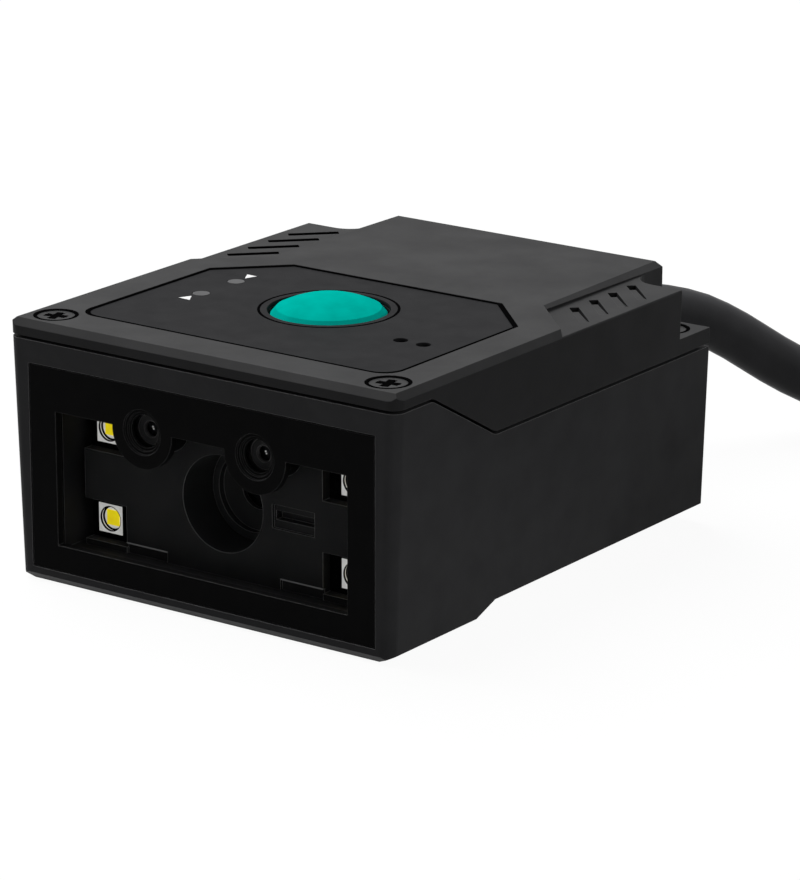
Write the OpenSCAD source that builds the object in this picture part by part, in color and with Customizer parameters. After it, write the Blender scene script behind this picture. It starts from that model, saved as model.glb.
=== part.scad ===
// Fixed barcode reader: two-part moulded housing with a scan engine behind a front window,
// a sprung scan button on top and a fixed cable at the rear.
// Millimetres. +Z is up and the window faces -Y. The origin is at the middle of the underside.

/* [Housing] */
// Width across the top edge
body_w = 50.8; // [49:0.1:56]
// Depth from the front face to the rear of the hump
body_d = 59.5; // [59:0.1:66]
// Height from the foot to the top face
body_h = 28.6; // [28:0.1:33]
// Lean of the two side walls towards the foot, in degrees
side_draft = 1.93; // [0.5:0.01:3]
// Radius of the upright front corners
corner_r = 1.3; // [0.8:0.1:2.4]
// Thickness of the side walls at the top edge
wall_t = 3; // [2.6:0.1:3.6]
// Thickness of the rear wall in the middle
rear_wall_t = 2.9; // [2:0.1:3.6]
// Thickness of the floor
floor_t = 1.8; // [1.4:0.1:2.6]
// How far the rear of the underside is raised above the front foot
foot_h = 1.23; // [0.6:0.01:2]
// Length of the front foot
foot_len = 13.4; // [8:0.1:18]
// How far the flanged rear corners stop short of the hump
flange_setback = 0.65; // [0.5:0.05:2]

/* [Cover] */
// Height of the cover's front lip above the parting line
lip_h = 2.05; // [1.9:0.05:3]
// How far the parting line drops along the sides
skirt_drop = 6.3; // [4:0.1:7]
// Width of the groove at the parting line
groove = 0.35; // [0.15:0.05:0.5]
// Thickness of the cover's top wall
top_t = 1.8; // [1.6:0.05:2.2]
// Bevel around the cover's top edge
edge_bevel = 0.75; // [0.4:0.05:1]
// Distance of the hump from the side edges
hump_in = 7.9; // [7:0.1:9]
// Depth of the vent shelves below the top face
shelf_drop = 0.62; // [0.5:0.02:0.9]
// Distance from the rear of the hump to the rear edge of the vent shelves
corner_d = 6.8; // [5.5:0.1:8]
// Thickness of the rear corner flanges
flange_t = 1.8; // [1.5:0.1:2.6]
// Vent slots on each shelf
slot_count = 4; // [2:1:4]
// Spacing of the vent slots
slot_pitch = 3.73; // [2.5:0.01:4]
// Width of a vent slot
slot_w = 1.05; // [0.5:0.05:1.4]
// Depth of a vent slot at its inner end
slot_depth = 0.6; // [0.3:0.05:0.75]

/* [Label panel] */
// Distance of the label panel from the side edges
label_in = 5.1; // [4.4:0.1:6]
// Length of the label panel
label_l = 29; // [27:0.1:30]
// Thickness of the label panel
label_t = 0.5; // [0.4:0.05:0.7]
// How far the panel lies below the top face
label_sink = 0.1; // [0:0.05:0.2]

/* [Scan button] */
// Radius of the button
button_r = 6.25; // [5:0.05:7]
// Height of the button's crown above the top face
button_rise = 1.5; // [1:0.05:2]
// Travel of the button
button_travel = 0.8; // [0.4:0.05:1]
// Clearance around the button
button_gap = 0.35; // [0.3:0.05:0.6]

/* [Window] */
// Distance of the pane's ends from the side edges
window_in = 2.85; // [2.7:0.05:3.5]
// Distance of the pane's upper edge below the top face
window_top = 4.65; // [4.4:0.05:5.5]
// Height of the pane's lower edge above the foot
window_z = 1.55; // [1.4:0.05:2]
// Thickness of the pane
pane_t = 0.5; // [0.4:0.05:0.8]
// Thickness of the bezel plate behind the pane
bezel_t = 0.9; // [0.7:0.05:1]
// Thickness of the window gasket
seal_t = 0.3; // [0.2:0.05:0.4]
// Width of the bezel's border at the ends
border_side = 3.45; // [3:0.05:4]
// Width of the bezel's border along the upper edge
border_top = 4.75; // [4:0.05:5]
// Width of the bezel's border along the lower edge
border_low = 2.85; // [2.4:0.05:3.2]

/* [Scan engine] */
// Height of the camera axis above the foot
axis_z = 11.57; // [11.3:0.01:12]
// Radius of the camera bore
bore_r = 5.28; // [4.6:0.01:5.5]
// Distance from the front face to the engine's face
engine_y = 4.1; // [3.8:0.05:4.6]
// Depth of the engine block
engine_d = 9.9; // [9.6:0.1:11]
// Distance of each light from the engine's end
led_in = 2.45; // [2.2:0.05:2.8]
// Distance of each light from the camera axis, up and down
led_dz = 5.02; // [4.8:0.02:5.3]
// Side of a light's square package
led_side = 3.2; // [2.6:0.1:3.5]
// Distance of each aimer from the camera axis, sideways
aimer_dx = 7.4; // [7:0.05:8]
// Height of the aimers above the camera axis
aimer_dz = 7.43; // [7.2:0.01:7.6]
// Radius of an aimer barrel
aimer_r = 3; // [2.6:0.05:3.1]

/* [Boards and fasteners] */
// Thickness of the circuit boards
board_t = 1.2; // [0.8:0.1:1.6]
// Distance of the main board's underside below the top face
board_drop = 8.1; // [7.8:0.1:8.6]
// Radius of a cover screw's head
head_r = 2.05; // [1.7:0.05:2.3]
// Distance of the cover screws from the side edges
screw_in_x = 3.7; // [3.5:0.05:4]
// Distance of the front cover screws from the front face
screw_in_y = 3.6; // [3.4:0.05:4]
// Inner radius of a mounting insert, for an M3 screw
insert_r = 1.25; // [1:0.05:1.5]
// Sideways spacing of the mounting inserts
mount_dx = 30; // [24:0.5:32]
// Lengthwise spacing of the mounting inserts
mount_dy = 16; // [12:0.5:16]

/* [Cable] */
// Diameter of the cable
cable_d = 6; // [5:0.1:6.4]
// Height of the cable outlet above the foot
outlet_z = 17.5; // [16.8:0.1:17.9]

/* [Hidden] */

$fn = 48;
// Overshoot of a cutting shape past the face that it cuts
cut = 1;
// Seating clearance between pieces that are fixed together
seat = 0.05;
// Clearance between the button's pieces and what they move past
move_gap = 0.3;
// Clearance around the cable in its strain relief
cable_play = 0.15;
// Clearance around the window pane
edge_gap = 0.1;
// Groove around the label panel
label_gap = 0.2;

half_w = body_w / 2;
flange_d = body_d - flange_setback;
lean = tan(side_draft);
foot_half_w = half_w - body_h * lean;
// Bevels along the foot
foot_bevel_h = 0.7;
foot_bevel_side = 1.65;
foot_bevel_front = 0.5;
// Slope from the foot up to the raised rear
foot_ramp = 3.3;

// Parting line, as a profile seen from the side
part_z = body_h - lip_h;
side_part_z = part_z - skirt_drop;
part_bend_y = 6.2;
part_low_y = 17.6;
bend_r = 2;

// Inner chambers
hump_w = body_w - 2 * hump_in;
shelf_rear = body_d - corner_d;
chamber_half = half_w - wall_t;
chamber_y = 8;
narrow_half = hump_w / 2 - 0.9;
narrow_y = shelf_rear - 1.7;
chamber_rear = body_d - rear_wall_t;
floor_z = foot_h + floor_t;
roof_z = body_h - top_t;
shelf_z = body_h - shelf_drop;
flange_top_z = side_part_z + groove + flange_t;
// The hump's top narrows towards the rear, down a slope along each side
hump_taper = 1.1;
hump_slope = 1;
hump_slope_h = 0.48;
hump_side = hump_w / 2 + hump_slope;
// Where a shelf's slanted front edge meets the hump, and its slots
slant_run = 15.4;
slant_y = shelf_rear - slant_run;
slant = hump_w / 2 + slant_y;
slot_in = 5.6;
slot_l = 5.8;
slot_end = 0.2;
first_slot_run = 12.8;
first_slot_y = shelf_rear - first_slot_run;
// Tab of the rear wall that carries the cable outlet
tab_half = 8;
tab_z = outlet_z + cable_d / 2 + 3.3;

// Window stack, from the front face inwards
window_w = body_w - 2 * window_in;
window_h = body_h - window_z - window_top;
bezel_sink = 0.05;
pane_y = bezel_sink + bezel_t;
seal_y = pane_y + pane_t;
ledge_y = seal_y + seal_t;
front_wall_y = ledge_y + 1.25;
sight_half = window_w / 2 - border_side;
sight_z = window_z + border_low;
sight_h = window_h - border_low - border_top;
front_half = sight_half + 0.5;

// Engine
ear_w = 3.4;
ear_play = 0.4;
engine_half = chamber_half - ear_w - ear_play;
engine_floor_z = 3.6;
engine_top_z = axis_z + aimer_dz + aimer_r + 1.4;
engine_rear = engine_y + engine_d;
aimer_z = axis_z + aimer_dz;
lobe_r = aimer_r + 0.97;
led_dx = engine_half - led_in;
led_y = engine_y + 1.17;
led_t = 0.8;
led_board_y = led_y + led_t;
led_board_t = 0.8;
pocket_half = 2.25;
pocket_in = led_dx - 3.15;
led_board_in = pocket_in + 0.1;
ear_t = 2;
ear_half_h = 3.5;
ear_screw_x = engine_half + 2.3;
ear_head_r = 1.4;
ear_screw_len = 5.5;
ear_pilot_len = 4;
barrel_y = engine_y + 5;
barrel_face_y = barrel_y + 1.2;

// Scan button, switch and lights on the main board
label_w = body_w - 2 * label_in;
label_y = 5.7;
button_in = 17;
button_y = label_y + button_in;
label_top_z = body_h - label_sink;
label_floor_z = label_top_z - label_t;
button_hole_r = button_r + button_gap;
board_z = body_h - board_drop;
board_top_z = board_z + board_t;
switch_half = 3;
switch_h = 2.5;
switch_top_z = board_top_z + switch_h;
plunger_r = 1.2;
stem_r = 1.6;
stem_z = switch_top_z + button_travel + move_gap;
well_z = board_top_z + 0.25;
light_in_x = 5.4;
light_x = -label_w / 2 + light_in_x;
power_light_in = 14;
status_light_in = 20.1;
light_ys = [label_y + power_light_in, label_y + status_light_in];
light_r = 0.93;
sound_in_x = 4;
sound_pitch = 2.9;
sound_xs = [label_w / 2 - sound_in_x - sound_pitch, label_w / 2 - sound_in_x];
sound_in_y = 11.5;
sound_y = label_y + sound_in_y;
sound_r = 0.79;

// Main board
board_half = chamber_half - 1.6;
board_y = engine_rear + board_t + 1;
board_rear = narrow_y;
post_x = chamber_half - 3;
post_ys = [board_y + 3.3, board_rear - 3];
post_r = 2.6;
pilot_r = 0.9;
board_rear_y = board_rear - 0.4;
board_head_r = 1.7;
board_screw_len = 5.5;
chip_run = 18;
chip_y = board_rear - chip_run;
processor_side = 11;
processor_t = 1.1;
memory_w = 9;
memory_l = 7;
memory_t = 0.9;
chip_gap = 2;
shank_r = 0.85;

// Cover screws
screw_x = half_w - screw_in_x;
rear_screw_y = shelf_rear + 3.1;
ring_r = head_r + 0.33;
head_h = 0.9;
head_sink = 0.1;
screw_pass_r = 1.2;
screw_len = 7;

// Mounting inserts, in the raised part of the floor
insert_wall = 0.83;
insert_len = 5;
mount_mid_y = (post_ys[0] + post_ys[1]) / 2;
boss_wall = 1.3;
boss_cap = 1.5;

// Cable, its coil and its plug, in the part's own frame
cable_r = cable_d / 2;
cable_inner_y = chamber_rear - 2.1;
cable_sides = 10;
relief_neck_r = cable_r + 1.2;
relief_rim = 1.4;
boot_l = 7;
rib_count = 3;
rib_pitch = 1.7;
rib_h = 0.7;
rib_taper = 0.2;
cable_route = [[0, cable_inner_y - body_d / 2, outlet_z], [0, 30.4, outlet_z], [0, 35.4, outlet_z],
  [0.35, 39.2, 17.5], [1.4, 43, 17.5], [3.2, 46.8, 17.2], [5.5, 50.6, 16.45], [8.1, 54.4, 15],
  [10.9, 58, 12.5], [13.9, 61.7, 9.3], [17.2, 65.3, 6.55], [21, 68.6, 4.85], [25.6, 71.2, 3.95],
  [31, 72.9, 3.6], [37, 73.4, 3.6], [45, 73.1, 3.6], [55, 72.4, 3.6], [65, 71.6, 3.6], [75, 71.1, 3.6]];
coil_at = [83, 34];
coil_mid_r = 31;
coil_half_w = 9;
coil_h = 18.6;
tie_t = 0.6;
tie_angle = 38;
tie_width_angle = 14;
// Angle and height where the tail climbs out of the coil, and then its bend towards the plug
tail_rise = [[-30, 15.6], [-50, 16], [-70, 17.2], [-90, 19.2], [-110, 20.8], [-130, 21.6]];
tail_bend_r = 25;
tail_bend_angle = -146;
tail_bend_z = 21.7;
bend_steps = 6;
plug_turn = tail_bend_angle - 180;
plug_gap = 0.3;
plug_l = 24;
plug_w = 14.6;
plug_h = 7.6;
shell_l = 14;
shell_w = 12;
shell_h = 4.5;
shell_t = 0.4;
shell_root = 4;
tongue_short = 2;

body_colour = "#1f1f21";
cover_colour = "#26272a";
panel_colour = "#1b1b1d";
rubber_colour = "#141414";
steel_colour = "#8d9094";
board_colour = "#1d4a33";

// Shared shapes

// Moves a piece that is set out from the front face into the part's own frame
module from_front() {
  translate([0, -body_d / 2, 0])
    children();
}

module both_sides() {
  children();
  mirror([1, 0, 0])
    children();
}

// Extrudes an outline given as [y, z] across the width, centred
module across(width) {
  rotate([90, 0, 90])
    linear_extrude(width, center = true)
      children();
}

// Extrudes an outline given as [x, z] backwards from y0 to y1
module backwards(y0, y1) {
  translate([0, y1, 0])
    rotate([90, 0, 0])
      linear_extrude(y1 - y0)
        children();
}

// Turns a piece made along Z so that it points backwards from y
module facing_back(x, y, z) {
  translate([x, y, z])
    rotate([-90, 0, 0])
      children();
}

// Box between two corners
module box(low, high) {
  translate(low)
    cube(high - low);
}

// Points of an arc that rounds the corner at b between a and c
function rounded(a, b, c, r, n = 6) =
  let (u = (a - b) / norm(a - b), v = (c - b) / norm(c - b))
  let (half = acos(u * v) / 2, back = r / tan(half))
  let (mid = b + (u + v) / norm(u + v) * r / sin(half))
  let (p = b + u * back - mid, q = b + v * back - mid)
  let (sweep = acos(p * q / (r * r)))
  [for (i = [0 : n]) mid + (p * sin(sweep * (n - i) / n) + q * sin(sweep * i / n)) / sin(sweep)];

function flip_x(points) = [for (i = [len(points) - 1 : -1 : 0]) [-points[i].x, points[i].y]];

// Smooth curve through the points of a cord's route
function curve_at(a, b, c, d, t) =
  (2 * b + (c - a) * t + (2 * a - 5 * b + 4 * c - d) * t * t + (3 * b - a - 3 * c + d) * t * t * t) / 2;

function smooth_route(p, n) = concat(
  [for (i = [0 : len(p) - 2]) for (j = [0 : n - 1])
    curve_at(p[max(i - 1, 0)], p[i], p[i + 1], p[min(i + 2, len(p) - 1)], j / n)],
  [p[len(p) - 1]]);

// Tube of one radius swept along a route that is never upright
module swept_tube(route, r, sides) {
  last = len(route) - 1;
  rings = [for (i = [0 : last])
    let (ahead = route[min(i + 1, last)] - route[max(i - 1, 0)])
    let (side = cross(ahead, [0, 0, 1]) / norm(cross(ahead, [0, 0, 1])))
    let (up = cross(side, ahead) / norm(ahead))
    for (k = [0 : sides - 1]) route[i] + r * (cos(360 * k / sides) * side + sin(360 * k / sides) * up)];
  walls = [for (i = [0 : last - 1]) for (k = [0 : sides - 1]) let (n = (k + 1) % sides)
    [i * sides + k, (i + 1) * sides + k, (i + 1) * sides + n, i * sides + n]];
  start_cap = [for (k = [0 : sides - 1]) k];
  end_cap = [for (k = [sides - 1 : -1 : 0]) last * sides + k];
  polyhedron(points = rings, faces = concat(walls, [start_cap], [end_cap]));
}

// Outline of one leaning side, with its front corner rounded
module lean_outline(depth) {
  reach = 2 * body_w;
  corner = rounded([0, 0], [half_w, 0], [half_w, depth], corner_r, 8);
  polygon(concat([[-reach, 0]], corner, [[half_w, depth], [-reach, depth]]));
}

module lean_side(depth) {
  reach = 2 * body_h;
  translate([half_w, 0, body_h])
    rotate([0, side_draft, 0])
      translate([-half_w, 0, -reach])
        linear_extrude(2 * reach)
          lean_outline(depth);
}

// Everything between the two leaning side walls
module between_sides(depth) {
  intersection() {
    lean_side(depth);
    mirror([1, 0, 0])
      lean_side(depth);
  }
}

// Parting line from the front to the rear, raised by dz
function parting(dz) =
  let (a = [0, part_z + dz], b = [part_bend_y, part_z + dz])
  let (c = [part_low_y, side_part_z + dz], d = [body_d, side_part_z + dz])
  concat([a], rounded(a, b, c, bend_r), rounded(b, c, d, bend_r), [d]);

// Inside outline of the housing and the cover
module chamber_plan(grow = 0) {
  half = chamber_half + grow;
  slim = narrow_half + grow;
  polygon([[-half, chamber_y - grow], [half, chamber_y - grow], [half, narrow_y + grow],
    [slim, narrow_y + grow], [slim, chamber_rear + grow], [-slim, chamber_rear + grow],
    [-slim, narrow_y + grow], [-half, narrow_y + grow]]);
}

module front_plan(grow = 0) {
  translate([-front_half - grow, front_wall_y - grow])
    square([2 * (front_half + grow), chamber_y - front_wall_y + 2 * grow + cut]);
}

module at_cover_screws() {
  both_sides() {
    translate([screw_x, screw_in_y, 0])
      children(0);
    translate([screw_x, rear_screw_y, 0])
      children(1);
  }
}

module at_posts() {
  both_sides()
    for (y = post_ys)
      translate([post_x, y, 0])
        children();
}

module at_mounts() {
  both_sides()
    for (dy = [-1, 1] * mount_dy / 2)
      translate([mount_dx / 2, mount_mid_y + dy, 0])
        children();
}

// Lower housing

module foot_front_outline(z) {
  in = foot_half_w - foot_bevel_side;
  out = in + 10 * foot_bevel_side;
  rise = z + 10 * foot_bevel_h;
  polygon([[-in, z], [in, z], [out, rise], [out, body_h], [-out, body_h], [-out, rise]]);
}

module housing_outside() {
  ramp_top = foot_h + foot_bevel_h;
  ramp_end = foot_len + foot_ramp * ramp_top / foot_h;
  intersection() {
    between_sides(flange_d);
    backwards(-cut, body_d)
      foot_front_outline(foot_h);
    across(2 * body_w)
      polygon(concat(parting(0), [[body_d, foot_h], [0, foot_h]]));
  }
  intersection() {
    between_sides(flange_d);
    backwards(-cut, body_d)
      foot_front_outline(0);
    across(2 * body_w)
      polygon([[0, foot_bevel_h], [foot_bevel_front, 0], [foot_len, 0], [ramp_end, ramp_top],
        [ramp_end, 2 * ramp_top], [0, 2 * ramp_top]]);
  }
  box([-hump_w / 2, chamber_rear, foot_h + foot_bevel_h], [hump_w / 2, body_d, side_part_z]);
  box([-tab_half, chamber_rear, side_part_z - cut], [tab_half, body_d, tab_z]);
}

module lower_housing() {
  rebate_x = window_w / 2 + edge_gap;
  color(body_colour)
    from_front() {
      difference() {
        housing_outside();
        translate([0, 0, floor_z])
          linear_extrude(body_h)
            chamber_plan();
        translate([0, 0, engine_floor_z])
          linear_extrude(body_h)
            front_plan();
        box([-rebate_x, -cut, window_z - edge_gap], [rebate_x, ledge_y, window_z + window_h + edge_gap]);
        box([-front_half, 0, engine_floor_z], [front_half, chamber_y, engine_top_z]);
        at_cover_screws() {
          translate([0, 0, part_z - screw_len])
            cylinder(r = pilot_r, h = screw_len + cut);
          translate([0, 0, side_part_z - screw_len])
            cylinder(r = pilot_r, h = screw_len + cut);
        }
        both_sides()
          facing_back(ear_screw_x, chamber_y - ear_pilot_len, axis_z)
            cylinder(r = pilot_r, h = ear_pilot_len + cut);
        at_mounts()
          translate([0, 0, foot_h - cut])
            cylinder(r = insert_r + insert_wall, h = insert_len + cut);
        facing_back(0, chamber_rear - cut, outlet_z)
          cylinder(r = relief_neck_r + seat, h = rear_wall_t + 2 * cut);
      }
      at_mounts()
        translate([0, 0, foot_h])
          difference() {
            cylinder(r = insert_r + insert_wall + boss_wall, h = insert_len + boss_cap);
            translate([0, 0, -cut])
              cylinder(r = insert_r + insert_wall, h = insert_len + cut);
          }
      at_posts()
        difference() {
          translate([0, 0, floor_z - cut])
            cylinder(r = post_r, h = board_z - floor_z + cut);
          translate([0, 0, board_z - screw_len])
            cylinder(r = pilot_r, h = screw_len + cut);
        }
    }
}

// Top cover

module cover_outside() {
  in = half_w - edge_bevel;
  intersection() {
    between_sides(body_d);
    backwards(-cut, body_d + cut)
      polygon([[-in, body_h], [in, body_h], [in + 10, body_h - 10], [-in - 10, body_h - 10]]);
    across(2 * body_w)
      polygon(concat([[edge_bevel, body_h], [0, body_h - edge_bevel]], parting(groove),
        [[body_d, body_h]]));
  }
}

// What lies behind a vent shelf's slanted edge, from a distance beside the middle outwards
module shelf_plan(in) {
  out = half_w + cut;
  end = body_d + cut;
  polygon([[in, slant - in], [out, slant - out], [out, end], [in, end]]);
}

// Clear space above a rear corner, where the cover steps down behind the shelf
module corner_plan() {
  out = half_w + cut;
  inner = [hump_side, shelf_rear];
  rear = [hump_side, body_d + cut];
  arc = rounded([half_w, shelf_rear], inner, rear, rear_screw_y - shelf_rear, 8);
  polygon(concat([[out, shelf_rear]], arc, [rear, [out, rear.y]]));
}

module hump_side_slope() {
  intersection() {
    translate([hump_w / 2, body_d, body_h])
      rotate(hump_taper)
        backwards(-body_d, cut)
          polygon([[0, 0], [hump_slope, -hump_slope_h], [hump_slope + cut, -hump_slope_h],
            [hump_slope + cut, cut], [0, cut]]);
    translate([0, 0, shelf_z])
      linear_extrude(body_h)
        shelf_plan(hump_w / 2 - cut);
  }
}

module vent_slot(y) {
  translate([half_w - slot_in, y, shelf_z])
    rotate([0, 0, -45])
      rotate([90, 0, 0])
        linear_extrude(slot_w, center = true)
          polygon([[0, -slot_depth], [slot_l, -slot_end], [slot_l, cut], [0, cut]]);
}

module cover_inside() {
  translate([0, 0, side_part_z - cut])
    linear_extrude(roof_z - side_part_z + cut)
      chamber_plan();
  box([-tab_half - groove, chamber_rear - cut, side_part_z - cut],
    [tab_half + groove, body_d + cut, tab_z + groove]);
}

module label_outline(grow = 0) {
  half = label_w / 2 + grow;
  y0 = label_y - grow;
  y1 = label_y + label_l + grow;
  rear_cut = 6.6;
  corner = rounded([0, y0], [half, y0], [half, y1], 2.4);
  side = concat(corner, [[half, y1 - rear_cut], [half - rear_cut, y1]]);
  polygon(concat(side, flip_x(side)));
}

module panel_holes(play = 0) {
  translate([0, button_y])
    circle(r = button_hole_r);
  for (y = light_ys)
    translate([light_x, y])
      circle(r = light_r + play);
  for (x = sound_xs)
    translate([x, sound_y])
      circle(r = sound_r);
}

module screw_seat(top_z, bottom_z) {
  translate([0, 0, top_z - head_h - head_sink])
    cylinder(r = ring_r, h = head_h + head_sink + cut);
  translate([0, 0, bottom_z - cut])
    cylinder(r = screw_pass_r, h = top_z - bottom_z + cut);
}

module top_cover() {
  color(cover_colour)
    from_front()
      difference() {
        cover_outside();
        cover_inside();
        both_sides() {
          translate([0, 0, shelf_z])
            linear_extrude(body_h)
              shelf_plan(hump_side);
          translate([0, 0, flange_top_z])
            linear_extrude(body_h)
              corner_plan();
          box([hump_side, flange_d, 0], [half_w + cut, body_d + cut, body_h + cut]);
          hump_side_slope();
          for (i = [0 : slot_count - 1])
            vent_slot(first_slot_y + i * slot_pitch);
        }
        translate([0, 0, label_floor_z])
          linear_extrude(body_h)
            label_outline(label_gap);
        translate([0, 0, roof_z - cut])
          linear_extrude(body_h)
            panel_holes(seat);
        at_cover_screws() {
          screw_seat(body_h, part_z);
          screw_seat(flange_top_z, side_part_z);
        }
      }
}

module cover_gasket() {
  inset = 0.6;
  color(rubber_colour)
    from_front()
      difference() {
        intersection() {
          across(2 * body_w)
            polygon(concat(parting(groove), [for (i = [len(parting(0)) - 1 : -1 : 0]) parting(0)[i]]));
          translate([0, 0, side_part_z - cut])
            linear_extrude(body_h)
              difference() {
                translate([-half_w + 2 * inset, inset])
                  square([body_w - 4 * inset, flange_d - 2 * inset]);
                chamber_plan(0.3);
                front_plan(0.3);
                translate([-tab_half - 2 * groove, chamber_rear - cut])
                  square([2 * tab_half + 4 * groove, rear_wall_t + 2 * cut]);
              }
        }
        at_cover_screws() {
          cylinder(r = screw_pass_r, h = body_h);
          cylinder(r = screw_pass_r, h = body_h);
        }
      }
}

// Cross recess of a screw's head
module drive_recess(head_radius, depth) {
  reach = 1.25 * head_radius;
  arm = 0.3 * head_radius;
  translate([0, 0, -depth])
    linear_extrude(depth + cut) {
      square([reach, arm], center = true);
      square([arm, reach], center = true);
      rotate(45)
        square(1.6 * arm, center = true);
    }
}

module screw(head_radius, height, length) {
  difference() {
    translate([0, 0, -height])
      cylinder(r = head_radius, h = height);
    drive_recess(head_radius, 0.65 * height);
  }
  translate([0, 0, -height - length])
    cylinder(r = shank_r, h = length);
}

module cover_screws() {
  color(steel_colour)
    from_front()
      at_cover_screws() {
        translate([0, 0, body_h - head_sink])
          screw(head_r, head_h, screw_len - 0.5);
        translate([0, 0, flange_top_z - head_sink])
          screw(head_r, head_h, screw_len - 0.5);
      }
}

module label_panel() {
  color(panel_colour)
    from_front()
      difference() {
        translate([0, 0, label_floor_z])
          linear_extrude(label_t)
            difference() {
              label_outline();
              panel_holes(seat);
            }
        translate([0, button_y, label_top_z - 0.3])
          difference() {
            cylinder(r = button_hole_r + 1, h = cut);
            translate([0, 0, -cut])
              cylinder(r = button_hole_r + 0.75, h = 3 * cut);
          }
      }
}

// Scan button and what it works

module scan_button() {
  skirt = 0.6;
  rim_z = body_h - skirt;
  knee_r = button_r - skirt;
  knee_z = body_h + 0.1;
  lip_t = 0.8;
  crown = button_rise + body_h - knee_z;
  lip_top = roof_z - move_gap;
  lip_r = button_hole_r + 0.7;
  dome = [for (i = [0 : 10]) [knee_r * i / 10, knee_z + crown * (1 - pow(i / 10, 2))]];
  color("#00a99d")
    from_front()
      translate([0, button_y, 0])
        rotate_extrude()
          polygon(concat(dome, [[button_r, rim_z], [button_r, lip_top], [lip_r, lip_top],
            [lip_r, lip_top - lip_t], [stem_r, lip_top - lip_t], [stem_r, stem_z], [0, stem_z]]));
}

module switch_plunger() {
  foot_z = well_z + button_travel + move_gap;
  color("#303236")
    from_front()
      translate([0, button_y, foot_z])
        cylinder(r = plunger_r, h = stem_z - foot_z);
}

module scan_switch() {
  color("#3a3c40")
    from_front()
      translate([0, button_y, 0])
        difference() {
          box([-switch_half, -switch_half, board_top_z], [switch_half, switch_half, switch_top_z]);
          translate([0, 0, well_z])
            cylinder(r = plunger_r + move_gap, h = switch_h);
        }
}

module light_pipe(y) {
  color("#8f9294")
    from_front()
      translate([light_x, y, board_top_z + 1])
        cylinder(r = light_r, h = label_top_z - board_top_z - 1);
}

module power_light_pipe() {
  light_pipe(light_ys[0]);
}

module status_light_pipe() {
  light_pipe(light_ys[1]);
}

module indicator_leds() {
  color("#d8dcd0")
    from_front()
      for (y = light_ys)
        translate([light_x - 0.8, y - 0.6, board_top_z])
          cube([1.6, 1.2, 0.8]);
}

module buzzer() {
  side = 5.4;
  mid_x = (sound_xs[0] + sound_xs[1]) / 2;
  color("#161616")
    from_front()
      translate([mid_x, board_y + 0.3 + side / 2, board_top_z])
        difference() {
          translate([-side / 2, -side / 2, 0])
            cube([side, side, 3.3]);
          translate([0, 0, 2.3])
            cylinder(r = 1.1, h = 2);
        }
}

// Window

module window_pane() {
  color("#20242a", 0.5)
    from_front()
      box([-window_w / 2, pane_y, window_z], [window_w / 2, seal_y, window_z + window_h]);
}

module aimer_lobe() {
  translate([aimer_dx, aimer_z])
    circle(r = lobe_r);
}

module window_bezel() {
  color("#0c0c0d")
    from_front()
      difference() {
        backwards(bezel_sink, pane_y)
          difference() {
            translate([-window_w / 2, window_z])
              square([window_w, window_h]);
            difference() {
              translate([-sight_half, sight_z])
                square([2 * sight_half, sight_h]);
              both_sides()
                aimer_lobe();
            }
          }
        both_sides()
          facing_back(aimer_dx, bezel_sink - cut, aimer_z)
            for (step = [[0.62, 0.3], [0.53, 0.6], [0.45, 2]])
              cylinder(r = step[0] * lobe_r, h = cut + step[1] * bezel_t);
      }
}

module window_gasket() {
  rim = 2.2;
  color(rubber_colour)
    from_front()
      backwards(seal_y, ledge_y)
        difference() {
          translate([-window_w / 2, window_z])
            square([window_w, window_h]);
          translate([-window_w / 2 + rim, window_z + rim])
            square([window_w - 2 * rim, window_h - 2 * rim + 0.8]);
        }
}

// Scan engine

module engine_chassis() {
  slot = [6.5, -1.37];
  slot_size = [5.45, 2.6];
  color("#17181a")
    from_front()
      difference() {
        union() {
          box([-engine_half, engine_y, engine_floor_z], [engine_half, engine_rear, engine_top_z]);
          both_sides()
            box([engine_half - cut, chamber_y, axis_z - ear_half_h],
              [chamber_half - ear_play, chamber_y + ear_t, axis_z + ear_half_h]);
        }
        facing_back(0, engine_y - cut, axis_z)
          cylinder(r = bore_r, h = engine_d + 2 * cut);
        both_sides() {
          facing_back(aimer_dx, engine_y - cut, aimer_z)
            cylinder(r = aimer_r + seat, h = 6 + cut);
          for (dz = [-led_dz, led_dz])
            box([pocket_in, engine_y - cut, axis_z + dz - pocket_half],
              [engine_half + cut, led_board_y, axis_z + dz + pocket_half]);
          box([led_board_in, led_board_y - seat, engine_floor_z + 0.35],
            [engine_half + cut, led_board_y + led_board_t + seat, axis_z + 2 * led_dz - 2.3]);
          facing_back(ear_screw_x, chamber_y - cut, axis_z)
            cylinder(r = screw_pass_r, h = ear_t + 2 * cut);
          box([7.5, engine_y - cut, engine_floor_z - cut], [pocket_in, engine_y + 0.3, engine_floor_z + 1.2]);
        }
        box([slot.x, engine_y - cut, axis_z + slot.y],
          [slot.x + slot_size.x, engine_y + 0.35, axis_z + slot.y + slot_size.y]);
        box([slot.x + 0.3, engine_y - cut, axis_z + slot.y + 0.9],
          [slot.x + slot_size.x, engine_y + 1.3, axis_z + slot.y + 1.9]);
      }
}

module engine_screws() {
  color(steel_colour)
    from_front()
      both_sides()
        translate([ear_screw_x, chamber_y + ear_t + head_h, axis_z])
          rotate([-90, 0, 0])
            screw(ear_head_r, head_h, ear_screw_len);
}

module engine_board() {
  color(board_colour)
    from_front()
      box([-engine_half + 0.6, engine_rear, engine_floor_z],
        [engine_half - 0.6, engine_rear + board_t, engine_top_z]);
}

module image_sensor() {
  half = 3.4;
  color("#4a4038")
    from_front()
      box([-half, engine_rear - 1, axis_z - half], [half, engine_rear, axis_z + half]);
}

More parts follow.
